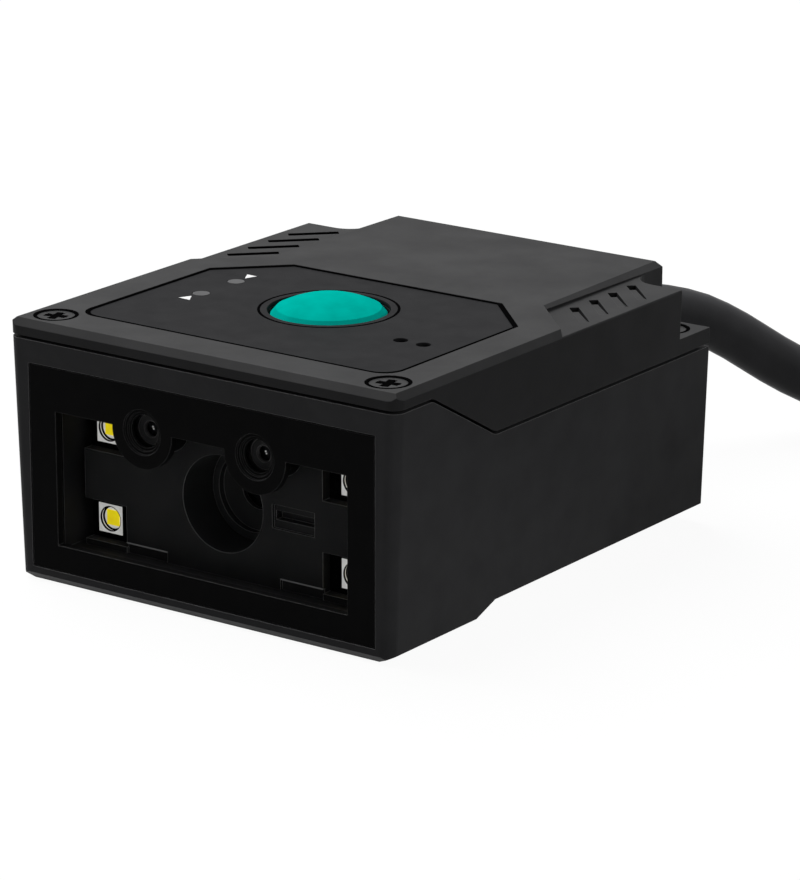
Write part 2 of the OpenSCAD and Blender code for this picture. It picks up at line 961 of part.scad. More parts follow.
module camera_lens_barrel() {
  outer = bore_r - seat;
  length = 3.6;
  step = barrel_face_y - barrel_y;
  color("#0f0f10")
    from_front()
      facing_back(0, barrel_y, axis_z)
        rotate_extrude()
          polygon([[outer, 0], [outer, length], [3.65, length], [3.65, step + 0.6], [2.2, step + 0.6],
            [2.2, step], [4.4, step - 0.4], [4.4, 0]]);
}

module lens(r, thickness) {
  n = 8;
  rotate_extrude()
    polygon(concat([[0, thickness], [0, 0]],
      [for (i = [1 : n]) [r * i / n, 0.35 * thickness * pow(i / n, 2)]], [[r, thickness]]));
}

module camera_lens() {
  color("#27303c")
    from_front()
      facing_back(0, barrel_face_y + 0.65, axis_z)
        lens(3.6, 1.4);
}

module aimer_barrel(x) {
  color("#121213")
    from_front()
      facing_back(x, ledge_y - 0.2, aimer_z)
        rotate_extrude()
          polygon([[aimer_r, 0], [aimer_r, 7.6], [0.9, 7.6], [0.9, 1.3], [1.2, 1.3], [1.2, 0.3], [1.75, 0]]);
}

module left_aimer_barrel() {
  aimer_barrel(-aimer_dx);
}

module right_aimer_barrel() {
  aimer_barrel(aimer_dx);
}

module aimer_lens(x) {
  color("#39424c")
    from_front()
      facing_back(x, ledge_y + 0.3, aimer_z)
        lens(1.15, 0.8);
}

module left_aimer_lens() {
  aimer_lens(-aimer_dx);
}

module right_aimer_lens() {
  aimer_lens(aimer_dx);
}

module led_boards() {
  color(board_colour)
    from_front()
      both_sides()
        box([led_board_in + seat, led_board_y, engine_floor_z + 0.4],
          [engine_half - 0.1, led_board_y + led_board_t, axis_z + 2 * led_dz - 2.35]);
}

module at_leds() {
  for (x = [-led_dx, led_dx])
    for (dz = [-led_dz, led_dz])
      facing_back(x, led_y, axis_z + dz)
        children();
}

module illumination_leds() {
  color("#dcdcd8")
    from_front()
      at_leds()
        difference() {
          translate([-led_side / 2, -led_side / 2, 0])
            cube([led_side, led_side, led_t]);
          translate([0, 0, -cut])
            cylinder(r = 0.44 * led_side, h = cut + 0.5);
        }
}

module led_phosphors() {
  side = 0.52 * led_side;
  color("#e8c400")
    from_front()
      at_leds()
        translate([-side / 2, -side / 2, 0.4])
          cube([side, side, 0.1]);
}

module engine_flex() {
  y0 = engine_rear + board_t;
  z0 = board_z - 3.5;
  color("#b8792c")
    from_front()
      across(12)
        polygon([[y0, z0], [y0 + 3, z0], [y0 + 4, z0 + 1], [y0 + 4, board_z], [y0 + 3.75, board_z],
          [y0 + 3.75, z0 + 1.1], [y0 + 2.9, z0 + 0.25], [y0, z0 + 0.25]]);
}

// Main board

module main_board() {
  color(board_colour)
    from_front()
      difference() {
        box([-board_half, board_y, board_z], [board_half, board_rear_y, board_top_z]);
        at_posts()
          cylinder(r = screw_pass_r, h = body_h);
      }
}

module board_screws() {
  color(steel_colour)
    from_front()
      at_posts()
        translate([0, 0, board_top_z + head_h])
          screw(board_head_r, head_h, board_screw_len);
}

module processor_chip() {
  color("#202224")
    from_front()
      translate([-chip_gap - processor_side, chip_y, board_top_z])
        cube([processor_side, processor_side, processor_t]);
}

module memory_chip() {
  color("#202224")
    from_front()
      translate([chip_gap, chip_y, board_top_z])
        cube([memory_w, memory_l, memory_t]);
}

module cable_connector() {
  color("#d9d6c8")
    from_front()
      box([-5, board_rear_y - 5, outlet_z - 2.2], [5, board_rear_y, board_z]);
}

module cable_wires() {
  wire_r = 0.55;
  color("#a02c28")
    from_front()
      for (x = [-2.1, -0.7, 0.7, 2.1])
        facing_back(x, board_rear_y, outlet_z)
          cylinder(r = wire_r, h = cable_inner_y - board_rear_y);
}

module mounting_inserts() {
  color("#b5964a")
    from_front()
      at_mounts()
        translate([0, 0, foot_h + 0.2])
          difference() {
            cylinder(r = insert_r + insert_wall - 0.02, h = insert_len - 0.2);
            translate([0, 0, -cut])
              cylinder(r = insert_r, h = insert_len + 2 * cut);
          }
}

// Cable

module strain_relief() {
  in = chamber_rear - seat;
  out = body_d + seat;
  hole = cable_r + cable_play;
  rim = relief_neck_r + relief_rim;
  color(rubber_colour)
    from_front()
      facing_back(0, 0, outlet_z)
        rotate_extrude()
          polygon(concat([[hole, in - relief_rim], [rim, in - relief_rim], [rim, in], [relief_neck_r, in],
            [relief_neck_r, out], [rim, out], [rim, out + 0.7 * relief_rim]],
            [for (i = [0 : rib_count - 1]) for (step = [[0.5, 0], [0.5, 0.45], [-0.5, 0.45], [-0.5, 0.7]])
              [relief_neck_r - rib_taper * i + step[0] * rib_h,
                out + relief_rim + rib_pitch * (i + step[1])]],
            [[hole + rib_h, out + boot_l], [hole, out + boot_l]]));
}

module cable_lead() {
  color("#2b2c2e")
    swept_tube(smooth_route(cable_route, 2), cable_r, cable_sides);
}

// Cross-section of the coil, grown by a clearance
module coil_section(grow = 0) {
  in = coil_mid_r - coil_half_w - grow;
  out = coil_mid_r + coil_half_w + grow;
  low = -grow;
  high = coil_h + grow;
  b = 1.8;
  polygon([[in + b, low], [out - b, low], [out, low + b], [out, high - b], [out - b, high], [in + b, high],
    [in, high - b], [in, low + b]]);
}

// Cross-section of the strap around the coil, which passes under it along the floor
module tie_section() {
  reach = coil_mid_r + 2 * coil_half_w;
  difference() {
    intersection() {
      coil_section(tie_t + seat);
      square([reach, reach]);
    }
    intersection() {
      coil_section(seat);
      translate([0, tie_t])
        square([reach, reach]);
    }
  }
}

module tie_sweep(extra = 0) {
  translate(coil_at)
    rotate(tie_angle - extra / 2)
      rotate_extrude(angle = tie_width_angle + extra)
        children();
}

module cable_coil() {
  color("#2b2c2e")
    difference() {
      translate(coil_at)
        rotate_extrude($fn = 96)
          coil_section();
      tie_sweep(1)
        translate([coil_mid_r - 2 * coil_half_w, -cut])
          square([4 * coil_half_w, cut + tie_t + seat]);
    }
}

module coil_tie() {
  color("#18181a")
    tie_sweep()
      tie_section();
}

// Point of the coil at an angle, a radius and a height
function coil_point(angle, r, z) = [coil_at.x + r * cos(angle), coil_at.y + r * sin(angle), z];
function bend_point(angle, z) =
  coil_point(tail_bend_angle, coil_mid_r - tail_bend_r, z) + tail_bend_r * [cos(angle), sin(angle), 0];
plug_z = coil_h + plug_h / 2;
tail_route = concat(
  [for (p = tail_rise) coil_point(p[0], coil_mid_r, p[1])],
  [for (i = [0 : bend_steps]) let (t = i / bend_steps)
    bend_point(tail_bend_angle - 90 * t, tail_bend_z + (plug_z - tail_bend_z) * t)]);

module cable_tail() {
  color("#2b2c2e")
    swept_tube(smooth_route(tail_route, 2), cable_r, cable_sides);
}

// Sets a piece of the plug along +X from the end of the cable, lying on the coil
module at_plug() {
  translate(tail_route[len(tail_route) - 1])
    rotate(plug_turn)
      translate([plug_gap, 0, 0])
        children();
}

// Plan of the plug's grip, which widens from the cable
module plug_plan() {
  shape = [[0, 0.66], [1.6, 0.79], [4, 0.87], [6, 0.94], [8, 0.98], [plug_l, 1]];
  side = [for (s = shape) [s[0], s[1] * plug_w / 2]];
  polygon(concat(side, [for (i = [len(side) - 1 : -1 : 0]) [side[i].x, -side[i].y]]));
}

module plug_body() {
  bevel = 1.2;
  y = plug_h / 2 - bevel;
  x = plug_w / 2 - bevel;
  color("#202123")
    at_plug()
      difference() {
        intersection() {
          rotate([90, 0, 90])
            linear_extrude(plug_l)
              polygon([[-x - bevel, -y], [-x, -y - bevel], [x, -y - bevel], [x + bevel, -y], [x + bevel, y],
                [x, y + bevel], [-x, y + bevel], [-x - bevel, y]]);
          linear_extrude(2 * plug_h, center = true)
            plug_plan();
        }
        translate([plug_l - shell_root, -shell_w / 2 - seat, -shell_h / 2 - seat])
          cube([shell_root + cut, shell_w + 2 * seat, shell_h + 2 * seat]);
      }
}

module plug_shell() {
  color("#b9bcc0")
    at_plug()
      translate([plug_l - shell_root, -shell_w / 2, -shell_h / 2])
        difference() {
          cube([shell_l + shell_root, shell_w, shell_h]);
          translate([shell_t, shell_t, shell_t])
            cube([shell_l + shell_root, shell_w - 2 * shell_t, shell_h - 2 * shell_t]);
        }
}

module plug_tongue() {
  color("#e6e4dc")
    at_plug()
      translate([plug_l - shell_root + shell_t, -shell_w / 2 + shell_t, 0])
        cube([shell_l + shell_root - tongue_short, shell_w - 2 * shell_t, shell_h / 2 - shell_t]);
}

lower_housing();
top_cover();
cover_gasket();
cover_screws();
label_panel();
scan_button();
switch_plunger();
scan_switch();
power_light_pipe();
status_light_pipe();
indicator_leds();
buzzer();
window_pane();
window_bezel();
window_gasket();
engine_chassis();
engine_screws();
engine_board();
image_sensor();
camera_lens_barrel();
camera_lens();
left_aimer_barrel();
right_aimer_barrel();
left_aimer_lens();
right_aimer_lens();
led_boards();
illumination_leds();
led_phosphors();
engine_flex();
main_board();
board_screws();
processor_chip();
memory_chip();
cable_connector();
cable_wires();
mounting_inserts();
strain_relief();
cable_lead();
cable_coil();
coil_tie();
cable_tail();
plug_body();
plug_shell();
plug_tongue();
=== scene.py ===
"""Looks of a fixed barcode reader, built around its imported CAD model."""

import math

import bmesh
import bpy
from mathutils import Matrix, Vector


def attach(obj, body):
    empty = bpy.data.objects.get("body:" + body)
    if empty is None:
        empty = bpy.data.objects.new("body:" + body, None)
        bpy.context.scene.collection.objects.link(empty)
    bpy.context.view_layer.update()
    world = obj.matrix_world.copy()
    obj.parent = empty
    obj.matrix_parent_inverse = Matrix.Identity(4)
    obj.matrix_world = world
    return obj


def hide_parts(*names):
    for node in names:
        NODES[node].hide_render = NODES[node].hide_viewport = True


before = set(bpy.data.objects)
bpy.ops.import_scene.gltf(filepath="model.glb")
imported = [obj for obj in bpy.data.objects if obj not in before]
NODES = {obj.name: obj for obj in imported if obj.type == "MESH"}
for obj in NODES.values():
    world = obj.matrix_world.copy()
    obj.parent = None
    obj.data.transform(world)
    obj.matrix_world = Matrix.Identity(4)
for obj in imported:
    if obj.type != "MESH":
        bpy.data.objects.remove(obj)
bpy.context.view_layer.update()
MM = 0.001


# Camera

CAMERA_AT = Vector((0.269159, -0.366554, 0.151577))
CAMERA_RIGHT = Vector((0.810473, 0.585775, 0.0))
CAMERA_UP = Vector((-0.171706, 0.237571, 0.956074))
CAMERA_BACK = Vector((0.560045, -0.774872, 0.293126))
CAMERA_LENS = 179.208
CAMERA_CLIP = (0.01, 50)


def make_camera():
    data = bpy.data.cameras.new("camera")
    data.lens = CAMERA_LENS
    data.clip_start, data.clip_end = CAMERA_CLIP
    camera = bpy.data.objects.new("camera", data)
    bpy.context.scene.collection.objects.link(camera)
    turn = Matrix((CAMERA_RIGHT, CAMERA_UP, CAMERA_BACK)).transposed()
    camera.matrix_world = Matrix.Translation(CAMERA_AT) @ turn.to_4x4()
    bpy.context.scene.camera = camera


make_camera()


# Mesh helpers


def link(obj, replaces=()):
    """Puts a new piece in the scene, on the reader's body."""
    bpy.context.scene.collection.objects.link(obj)
    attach(obj, "reader")
    if replaces:
        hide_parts(*replaces)
    return obj


def mesh_piece(name, bm, material, smooth=True):
    """Makes an object from a bmesh, with one material."""
    bmesh.ops.recalc_face_normals(bm, faces=bm.faces)
    data = bpy.data.meshes.new(name)
    bm.to_mesh(data)
    bm.free()
    for polygon in data.polygons:
        polygon.use_smooth = smooth
    data.materials.append(material)
    return bpy.data.objects.new(name, data)


def sharp_by_angle(obj, degrees):
    """Marks the edges that bend by more than an angle as sharp."""
    bm = bmesh.new()
    bm.from_mesh(obj.data)
    for edge in bm.edges:
        if len(edge.link_faces) == 2 and edge.calc_face_angle(0) > math.radians(degrees):
            edge.smooth = False
    bm.to_mesh(obj.data)
    bm.free()


def bridge(bm, a, b):
    """Joins two rings of the same number of vertices by quads."""
    for i in range(len(a)):
        j = (i + 1) % len(a)
        bm.faces.new((a[i], a[j], b[j], b[i]))


def loft(bm, rings):
    """Joins rings of the same number of points into a tube with closed ends."""
    made = [[bm.verts.new(p) for p in ring] for ring in rings]
    for a, b in zip(made, made[1:]):
        bridge(bm, a, b)
    bm.faces.new(made[0])
    bm.faces.new(reversed(made[-1]))


def loop_of_rings(bm, rings):
    """Joins rings of vertices into a closed loop, such as a torus."""
    for a, b in zip(rings, rings[1:] + rings[:1]):
        bridge(bm, a, b)


def prism(bm, outline, low, high):
    """Upright solid with a flat outline, in millimetres."""
    loft(bm, [[Vector((x, y, z)) * MM for x, y in outline] for z in (low, high)])


def superellipse(half_a, half_b, power, count):
    """Points of a rounded rectangle about the origin."""
    points = []
    for i in range(count):
        t = 2 * math.pi * i / count
        c, s = math.cos(t), math.sin(t)
        points.append((
            half_a * math.copysign(abs(c) ** (2 / power), c),
            half_b * math.copysign(abs(s) ** (2 / power), s),
        ))
    return points


# Materials

EDGE_MM = 0.1
EDGE_SAMPLES = 6
# How far the softened normal agrees with the face's own, for the painted edge highlight: on a full edge,
# and on a flat face
EDGE_RANGE = (0.85, 0.985)
# Upward part of the softened normal: on an edge that stays dark, and on one that is lit from above
LIT_RANGE = (-0.8, -0.2)
# The way that the front bevel of the housing's foot looks, for its painted highlight, and how far a face
# has to agree with it
FOOT_FACING = (0, -0.707, -0.707)
FOOT_RANGE = (0.85, 0.95)
COLOR_DETAIL, GRAIN_DETAIL = 4.0, 2.0


class Shader:
    """A node material with a Principled shader and a few common textures."""

    def __init__(self, name, color, rough, spec, metal=0.0):
        self.material = bpy.data.materials.new(name)
        self.material.use_nodes = True
        self.nodes = self.material.node_tree.nodes
        self.links = self.material.node_tree.links
        self.bsdf = self.nodes["Principled BSDF"]
        self.color = (*color, 1.0)
        self.rough = rough
        self.put("Base Color", self.color)
        self.put("Roughness", rough)
        self.put("Specular IOR Level", spec)
        self.put("Metallic", metal)
        self.coords = self.nodes.new("ShaderNodeTexCoord").outputs["Object"]
        self.bump = None

    def put(self, socket, value):
        self.bsdf.inputs[socket].default_value = value

    def noise(self, size_mm, detail, stretch):
        """Noise of a feature size in millimetres."""
        source = self.coords
        if stretch:
            mapping = self.nodes.new("ShaderNodeMapping")
            mapping.inputs["Scale"].default_value = stretch
            self.links.new(self.coords, mapping.inputs["Vector"])
            source = mapping.outputs["Vector"]
        node = self.nodes.new("ShaderNodeTexNoise")
        node.inputs["Scale"].default_value = 1 / (size_mm * MM)
        node.inputs["Detail"].default_value = detail
        self.links.new(source, node.inputs["Vector"])
        return node.outputs["Fac"]

    def spread(self, value, low, high, from_low=0.3, from_high=0.7):
        """Maps a range of a value, by default a texture's middle range, to low and high."""
        node = self.nodes.new("ShaderNodeMapRange")
        node.inputs["From Min"].default_value = from_low
        node.inputs["From Max"].default_value = from_high
        node.inputs["To Min"].default_value = low
        node.inputs["To Max"].default_value = high
        self.links.new(value, node.inputs["Value"])
        return node.outputs["Result"]

    def mottle(self, size_mm, amount, stretch=None):
        """Varies the base colour by an amount either way."""
        share = self.spread(self.noise(size_mm, COLOR_DETAIL, stretch), 0, 1)
        node = self.nodes.new("ShaderNodeMix")
        node.data_type = "RGBA"
        node.inputs["A"].default_value = (*(c * (1 - amount) for c in self.color[:3]), 1)
        node.inputs["B"].default_value = (*(min(1, c * (1 + amount)) for c in self.color[:3]), 1)
        self.links.new(share, node.inputs["Factor"])
        self.links.new(node.outputs["Result"], self.bsdf.inputs["Base Color"])
        return node.outputs["Result"]

    def patchy(self, size_mm, amount, stretch=None):
        """Varies the roughness by an amount either way."""
        noise = self.noise(size_mm, COLOR_DETAIL, stretch)
        rough = self.spread(noise, self.rough - amount, self.rough + amount)
        self.links.new(rough, self.bsdf.inputs["Roughness"])

    def grain(self, size_mm, depth_um, stretch=None):
        """Fine surface relief."""
        node = self.nodes.new("ShaderNodeBump")
        node.inputs["Distance"].default_value = depth_um * 1e-6
        node.inputs["Strength"].default_value = 1.0
        self.links.new(self.noise(size_mm, GRAIN_DETAIL, stretch), node.inputs["Height"])
        self.links.new(node.outputs["Normal"], self.bsdf.inputs["Normal"])
        self.bump = node

    def normal_dot(self):
        """Dot product node with the face's own normal on one input."""
        node = self.nodes.new("ShaderNodeVectorMath")
        node.operation = "DOT_PRODUCT"
        self.links.new(self.nodes.new("ShaderNodeNewGeometry").outputs["Normal"], node.inputs[0])
        return node

    def soft_edges_with_painted_highlight(self, color, from_above):
        """Rounds the look of the edges, and paints a highlight on all of them, or on those lit from above,
        as a paler tone.
        """
        bevel = self.nodes.new("ShaderNodeBevel")
        bevel.samples = EDGE_SAMPLES
        bevel.inputs["Radius"].default_value = EDGE_MM * MM
        normal = bevel.outputs["Normal"]
        dot = self.normal_dot()
        self.links.new(normal, dot.inputs[1])
        share = self.spread(dot.outputs["Value"], 1, 0, *EDGE_RANGE)
        if from_above:
            parts = self.nodes.new("ShaderNodeSeparateXYZ")
            self.links.new(normal, parts.inputs["Vector"])
            both = self.nodes.new("ShaderNodeMath")
            both.operation = "MULTIPLY"
            self.links.new(share, both.inputs[0])
            self.links.new(self.spread(parts.outputs["Z"], 0, 1, *LIT_RANGE), both.inputs[1])
            share = both.outputs["Value"]
        self.tint(share, color)
        self.links.new(normal, self.bump.inputs["Normal"])

    def paint_foot_highlight(self, color):
        """Paints a highlight on the front bevel of the housing's foot, as a paler tone."""
        dot = self.normal_dot()
        dot.inputs[1].default_value = FOOT_FACING
        self.tint(self.spread(dot.outputs["Value"], 0, 1, *FOOT_RANGE), color)

    def tint(self, share, color):
        """Mixes a colour over the base colour."""
        node = self.nodes.new("ShaderNodeMix")
        node.data_type = "RGBA"
        base = self.bsdf.inputs["Base Color"]
        self.links.new(base.links[0].from_socket, node.inputs["A"])
        node.inputs["B"].default_value = (*color, 1)
        self.links.new(share, node.inputs["Factor"])
        self.links.new(node.outputs["Result"], base)


def moulded(name, color, rough, spec, grain_mm=0.22, grain_um=5.0, edge=None, foot_highlight=None, from_above=False):
    """Plastic with a fine spark-eroded grain."""
    s = Shader(name, color, rough, spec)
    s.mottle(size_mm=3.5, amount=0.10)
    s.patchy(size_mm=6.0, amount=0.05)
    s.grain(grain_mm, grain_um)
    # The foot colour paints a highlight, a paler tone on the front bevel of the foot
    if foot_highlight:
        s.paint_foot_highlight(foot_highlight)
    # The edge colour paints a highlight, a paler tone on the edges
    if edge:
        s.soft_edges_with_painted_highlight(edge, from_above)
    return s.material


def satin(name, color, rough, spec, mottle=0.08, mottle_mm=2.0, edge=None, from_above=False):
    """Smooth plastic, film or print."""
    s = Shader(name, color, rough, spec)
    s.mottle(mottle_mm, mottle)
    s.patchy(size_mm=3.0, amount=0.04)
    s.grain(size_mm=0.5, depth_um=1.5)
    # The edge colour paints a highlight, a paler tone on the edges
    if edge:
        s.soft_edges_with_painted_highlight(edge, from_above)
    return s.material


def metal(name, color, rough, brushed=None):
    """Bare metal, with its texture stretched where it is brushed."""
    s = Shader(name, color, rough, spec=0.5, metal=1.0)
    s.mottle(size_mm=1.2, amount=0.12, stretch=brushed)
    s.patchy(size_mm=0.8, amount=0.08, stretch=brushed)
    s.grain(size_mm=0.15, depth_um=1.5, stretch=brushed)
    return s.material


def pane_glass():
    """Coated pane: it barely reflects, and dims what is behind it."""
    s = Shader("pane_glass", (0.004, 0.004, 0.005), rough=0.03, spec=0.012)
    s.mottle(size_mm=8.0, amount=0.2)
    s.put("Alpha", 0.10)
    return s.material


def lens_glass(name, color):
    """Dark coated glass, seen from its front."""
    s = Shader(name, color, rough=0.08, spec=0.04)
    s.mottle(size_mm=1.0, amount=0.25)
    return s.material


def woven(name, color):
    """Hook and loop strap."""
    s = Shader(name, color, rough=0.9, spec=0.15)
    s.mottle(size_mm=0.5, amount=0.35)
    s.grain(size_mm=0.3, depth_um=60)
    s.put("Sheen Weight", 0.3)
    return s.material


def painted_glow(name, color, strength):
    """Small bright part with a painted glow, as it is no lamp: a light package, a glint or a lit edge."""
    s = Shader(name, color, rough=0.45, spec=0.2)
    tint = s.mottle(size_mm=0.6, amount=0.08)
    s.links.new(tint, s.bsdf.inputs["Emission Color"])
    s.put("Emission Strength", strength)
    return s.material


# Most looks have a name, a colour, a roughness and a specular level, and a glowing one its strength
M = {
    # Edge and foot colours are painted highlights, paler tones on edges and on the foot's front bevel
    "housing": moulded("housing_plastic", (0.033, 0.033, 0.0345), 0.55, 0.05, edge=(0.26, 0.26, 0.263),
                       foot_highlight=(0.24, 0.24, 0.243)),
    "cover": moulded("cover_plastic", (0.0125, 0.0125, 0.0131), 0.55, 0.086, edge=(0.04, 0.04, 0.041)),
    "panel": satin("panel_film", (0.017, 0.017, 0.018), 0.55, 0.012),
    "rubber": moulded("black_rubber", (0.022, 0.022, 0.023), 0.75, 0.05, grain_mm=0.4, grain_um=6.0),
    "teal": satin("teal_plastic", (0.0, 0.37, 0.31), 0.45, 0.0),
    "light_pipe": satin("light_pipe_plastic", (0.088, 0.088, 0.09), 0.4, 0.02),
    "screw_dark": satin("dark_screw_steel", (0.014, 0.014, 0.0147), 0.5, 0.085, edge=(0.06, 0.06, 0.062)),
    "screw": metal("screw_steel", (0.45, 0.45, 0.47), 0.35),
    "switch": satin("switch_plastic", (0.02, 0.02, 0.022), 0.5, 0.2),
    # The light packages' glow is painted light that brightens them in the shade; they are no lamps
    "led": painted_glow("led_white", (0.74, 0.74, 0.72), 0.6),
    "phosphor": painted_glow("phosphor_yellow", (0.82, 0.66, 0.01), 0.85),
    "pane": pane_glass(),
    "bezel": satin("bezel_black", (0.007, 0.007, 0.0072), 0.55, 0.01, edge=(0.36, 0.36, 0.362),
                   from_above=True),
    "engine": moulded("engine_black", (0.048, 0.048, 0.049), 0.6, 0.03, grain_mm=0.3, grain_um=4.0,
                      edge=(0.75, 0.75, 0.752), from_above=True),
    # The ledge's glow is a painted highlight on the engine's ledges
    "ledge": painted_glow("ledge_painted_highlight", (0.3, 0.3, 0.302), 0.15),
    "barrel": satin("barrel_black", (0.012, 0.012, 0.0124), 0.5, 0.04, edge=(0.6, 0.6, 0.602)),
    "mount": satin("mount_black", (0.07, 0.07, 0.071), 0.5, 0.02, edge=(0.7, 0.7, 0.702),
                   from_above=True),
    "iris": satin("iris_black", (0.07, 0.07, 0.071), 0.5, 0.02, edge=(0.6, 0.6, 0.602)),
    # Near black for the light packages' boards, and for painted shade in gaps, pockets and recesses
    "pit": satin("black_and_painted_shade", (0.002, 0.002, 0.0021), 0.8, 0.0),
    # Painted glints on the aimer lenses
    "glint": painted_glow("lens_glint", (0.8, 0.8, 0.8), 0.3),
    "lens": lens_glass("lens_glass", (0.004, 0.005, 0.007)),
    "sensor": lens_glass("sensor_glass", (0.03, 0.026, 0.022)),
    "board": satin("circuit_board", (0.012, 0.10, 0.045), 0.4, 0.2, mottle=0.25, mottle_mm=1.2),
    "flex": satin("flex_film", (0.42, 0.20, 0.04), 0.35, 0.3),
    "chip": moulded("chip_black", (0.015, 0.015, 0.016), 0.6, 0.2, grain_mm=0.15, grain_um=3.0),
    "connector": satin("connector_white", (0.70, 0.68, 0.60), 0.5, 0.3),
    "wire": satin("wire_red", (0.35, 0.02, 0.02), 0.45, 0.3),
    "brass": metal("insert_brass", (0.55, 0.38, 0.12), 0.35),
    "cable": moulded("cable_sheath", (0.040, 0.040, 0.042), 0.5, 0.05, grain_mm=0.5),
    "strap": woven("tie_fabric", (0.014, 0.014, 0.015)),
    "plug": moulded("plug_plastic", (0.030, 0.030, 0.032), 0.5, 0.06),
    "plug_steel": metal("plug_steel", (0.55, 0.56, 0.58), 0.3, brushed=(1, 8, 1)),
    "print": satin("print_white", (0.78, 0.78, 0.78), 0.6, 0.05),
}

# The CAD nodes that have each look
NODE_LOOKS = {
    "housing": ["lower_housing"],
    "cover": ["top_cover"],
    "panel": ["label_panel"],
    "rubber": ["cover_gasket", "window_gasket", "strain_relief"],
    "teal": ["scan_button"],
    "light_pipe": ["power_light_pipe", "status_light_pipe"],
    "screw_dark": ["cover_screws"],
    "screw": ["engine_screws", "board_screws"],
    "switch": ["switch_plunger", "scan_switch", "buzzer"],
    "led": ["illumination_leds", "indicator_leds"],
    "phosphor": ["led_phosphors"],
    "pane": ["window_pane"],
    "bezel": ["window_bezel"],
    "engine": ["engine_chassis"],
    "barrel": ["left_aimer_barrel", "right_aimer_barrel"],
    "mount": ["camera_lens_barrel"],
    "lens": ["camera_lens", "left_aimer_lens", "right_aimer_lens"],
    "sensor": ["image_sensor"],
    "board": ["engine_board", "main_board"],
    "pit": ["led_boards"],
    "flex": ["engine_flex"],
    "chip": ["processor_chip", "memory_chip"],
    "connector": ["cable_connector", "plug_tongue"],
    "wire": ["cable_wires"],
    "brass": ["mounting_inserts"],
    "cable": ["cable_lead", "cable_coil", "cable_tail"],
    "strap": ["coil_tie"],
    "plug": ["plug_body"],
    "plug_steel": ["plug_shell"],
}

for look, names in NODE_LOOKS.items():
    for name in names:
        for holder in NODES[name].material_slots:
            holder.material = M[look]


# Cable, on the route of the CAD solids

CABLE_D = 6.0
CABLE_ROUNDNESS = 6
# From the rear wall to the coil
LEAD = [
    (0, 24.75, 17.5), (0, 30.4, 17.5), (0, 35.4, 17.5), (0.35, 39.2, 17.5), (1.4, 43, 17.5),
    (3.2, 46.8, 17.2), (5.5, 50.6, 16.45), (8.1, 54.4, 15), (10.9, 58, 12.5), (13.9, 61.7, 9.3),
    (17.2, 65.3, 6.55), (21, 68.6, 4.85), (25.6, 71.2, 3.95), (31, 72.9, 3.6), (37, 73.4, 3.6),
    (45, 73.1, 3.6), (55, 72.4, 3.6), (65, 71.6, 3.6), (75, 71.1, 3.6),
]
# The coil's middle, the angle where it starts, the radii of its turns and the heights of its layers
COIL_AT = (83, 34)
COIL_START = 90
OUTER_R, MIDDLE_R, INNER_R = 37, 31, 25
LAYER_Z = (3.6, 9.6, 15.6, 21.7)
# Angle turned since the coil's start, radius and layer where the turns change
TURNS = [
    (0, OUTER_R, 0), (265, OUTER_R, 0), (360, MIDDLE_R, 0), (625, MIDDLE_R, 0), (720, INNER_R, 0),
    (885, INNER_R, 0), (985, INNER_R, 1), (1150, INNER_R, 1), (1245, MIDDLE_R, 1), (1510, MIDDLE_R, 1),
    (1605, OUTER_R, 1), (1800, OUTER_R, 1), (1920, OUTER_R, 2), (2065, OUTER_R, 2), (2160, MIDDLE_R, 2),
    (2280, MIDDLE_R, 2), (2390, MIDDLE_R, 3), (2396, MIDDLE_R, 3),
]
TAIL_BEND_R = 25
PLUG_Z = 22.4
# Steps between two of the lead's points, degrees of a step of the coil, and steps of the tail's bend
LEAD_STEPS, COIL_STEP, TAIL_STEPS = 2, 5, 9


def smooth_route(points):
    """Curve through a route's points, as the CAD source draws it."""
    p = [Vector(q) for q in points]
    last = len(p) - 1
    made = []
    for i in range(last):
        a, b, c, d = p[max(i - 1, 0)], p[i], p[i + 1], p[min(i + 2, last)]
        for j in range(LEAD_STEPS):
            t = j / LEAD_STEPS
            made.append((2 * b + (c - a) * t + (2 * a - 5 * b + 4 * c - d) * t ** 2
                         + (3 * b - a - 3 * c + d) * t ** 3) / 2)
    return made + [p[last]]


def polar(angle, radius, z, at=COIL_AT):
    """Point at an angle and a radius about the coil's middle, or about another point."""
    t = math.radians(angle)
    return Vector((at[0] + radius * math.cos(t), at[1] + radius * math.sin(t), z))


def ease(t):
    """Share of a change that starts and ends gently."""
    return 2 * t * t if t < 0.5 else 1 - 2 * (1 - t) ** 2


def coil_points():
    """Middle line of the turns, from the lead to the tail."""
    made = []
    for (a0, r0, layer0), (a1, r1, layer1) in zip(TURNS, TURNS[1:]):
        count = max(1, round((a1 - a0) / COIL_STEP))
        z0, z1 = LAYER_Z[layer0], LAYER_Z[layer1]
        for i in range(count):
            t = i / count
            angle = COIL_START - a0 - (a1 - a0) * t
            made.append(polar(angle, r0 + (r1 - r0) * ease(t), z0 + (z1 - z0) * ease(t)))
    return made


def tail_points():
    """Bend from the last turn towards the plug."""
    start = COIL_START - TURNS[-1][0]
    centre = polar(start, MIDDLE_R - TAIL_BEND_R, 0)
    z0 = LAYER_Z[-1]
    return [polar(start - 90 * i / TAIL_STEPS, TAIL_BEND_R, z0 + (PLUG_Z - z0) * i / TAIL_STEPS, centre)
            for i in range(TAIL_STEPS + 1)]


def cable_points():
    coil = coil_points()
    lead = smooth_route(LEAD + [tuple(coil[0])])[:-1]
    return lead + coil + tail_points()


